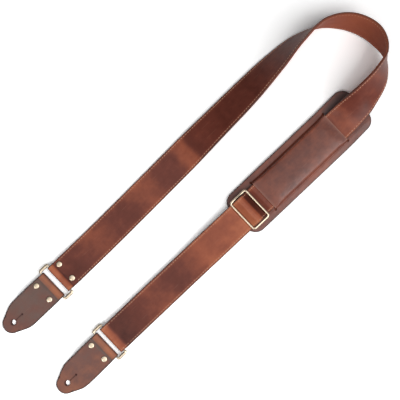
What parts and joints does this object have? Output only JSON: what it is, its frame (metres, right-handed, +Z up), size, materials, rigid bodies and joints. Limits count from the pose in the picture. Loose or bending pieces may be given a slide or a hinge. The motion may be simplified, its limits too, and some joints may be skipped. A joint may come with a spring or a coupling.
{
  "type": "leather guitar strap",
  "caption": "Leather instrument strap laid in a long U, with a sliding slotted shoulder pad, an adjusting slider and wire rings, and riveted end tabs with button holes.",
  "frame": {"origin": "middle of the footprint, on the table the strap lies on", "axes": "+X along the legs from the end tabs towards the bend, +Y from the pad's leg towards the other leg, +Z up"},
  "size_m": [0.5696, 0.1486, 0.0443],
  "materials": {
    "oiled_leather": "oiled pull-up leather, red-brown",
    "lining_leather": "smooth lining leather, lighter red-brown",
    "tab_leather": "matt leather, mauve-brown",
    "foam": "foam core",
    "antique_brass": "polished pale brass"
  },
  "bodies": {
    "strap": {"strap_face": "oiled_leather", "strap_lining": "lining_leather", "strap_end_left_rivet_cap": "antique_brass", "strap_end_left_rivet_base": "antique_brass", "strap_end_right_rivet_cap": "antique_brass", "strap_end_right_rivet_base": "antique_brass"},
    "ring_1": {"ring_1": "antique_brass"},
    "tab_1": {"end_tab_1": "tab_leather", "end_tab_1_left_rivet_cap": "antique_brass", "end_tab_1_left_rivet_base": "antique_brass", "end_tab_1_right_rivet_cap": "antique_brass", "end_tab_1_right_rivet_base": "antique_brass"},
    "pad": {"pad_cover": "oiled_leather", "pad_foam": "foam", "pad_base": "lining_leather"},
    "slider": {"slider_frame": "antique_brass", "slider_strap_face": "oiled_leather", "slider_strap_lining": "lining_leather", "tail_fold": "oiled_leather", "tail_left_rivet_cap": "antique_brass", "tail_left_rivet_base": "antique_brass", "tail_right_rivet_cap": "antique_brass", "tail_right_rivet_base": "antique_brass"},
    "ring_2_loop": {"loop_face": "oiled_leather", "loop_lining": "lining_leather"},
    "ring_2": {"ring_2": "antique_brass"},
    "tab_2": {"end_tab_2": "tab_leather", "end_tab_2_left_rivet_cap": "antique_brass", "end_tab_2_left_rivet_base": "antique_brass", "end_tab_2_right_rivet_cap": "antique_brass", "end_tab_2_right_rivet_base": "antique_brass"}
  },
  "joints": [
    {"name": "ring_1_swing", "type": "hinge", "parent": "strap", "child": "ring_1", "pos_m": [-0.19114, 0.04952, 0.0044], "axis": [0, 1, 0], "range_deg": [-80, 80]},
    {"name": "tab_1_swing", "type": "hinge", "parent": "ring_1", "child": "tab_1", "pos_m": [-0.20314, 0.04952, 0.0044], "axis": [0, 1, 0], "range_deg": [-80, 80]},
    {"name": "pad_slide", "type": "slide", "parent": "strap", "child": "pad", "axis": [1, 0, 0], "range_m": [-0.004, 0.003]},
    {"name": "slider_slide", "type": "slide", "parent": "strap", "child": "slider", "axis": [-1, 0, 0], "range_m": [0, 0.3], "deforming": ["slider_strap_face", "slider_strap_lining"]},
    {"name": "ring_2_travel", "type": "slide", "parent": "slider", "child": "ring_2_loop", "axis": [1, 0, 0], "range_m": [0, 0.15], "deforming": ["loop_face", "loop_lining"]},
    {"name": "ring_2_swing", "type": "hinge", "parent": "ring_2_loop", "child": "ring_2", "pos_m": [-0.19414, -0.04528, 0.0044], "axis": [0, 1, 0], "range_deg": [-80, 80]},
    {"name": "tab_2_swing", "type": "hinge", "parent": "ring_2", "child": "tab_2", "pos_m": [-0.20614, -0.04528, 0.0044], "axis": [0, 1, 0], "range_deg": [-80, 80]}
  ],
  "couplings": [
    {"joint": "ring_2_travel", "follows": "slider_slide", "ratio": 0.5}
  ]
}
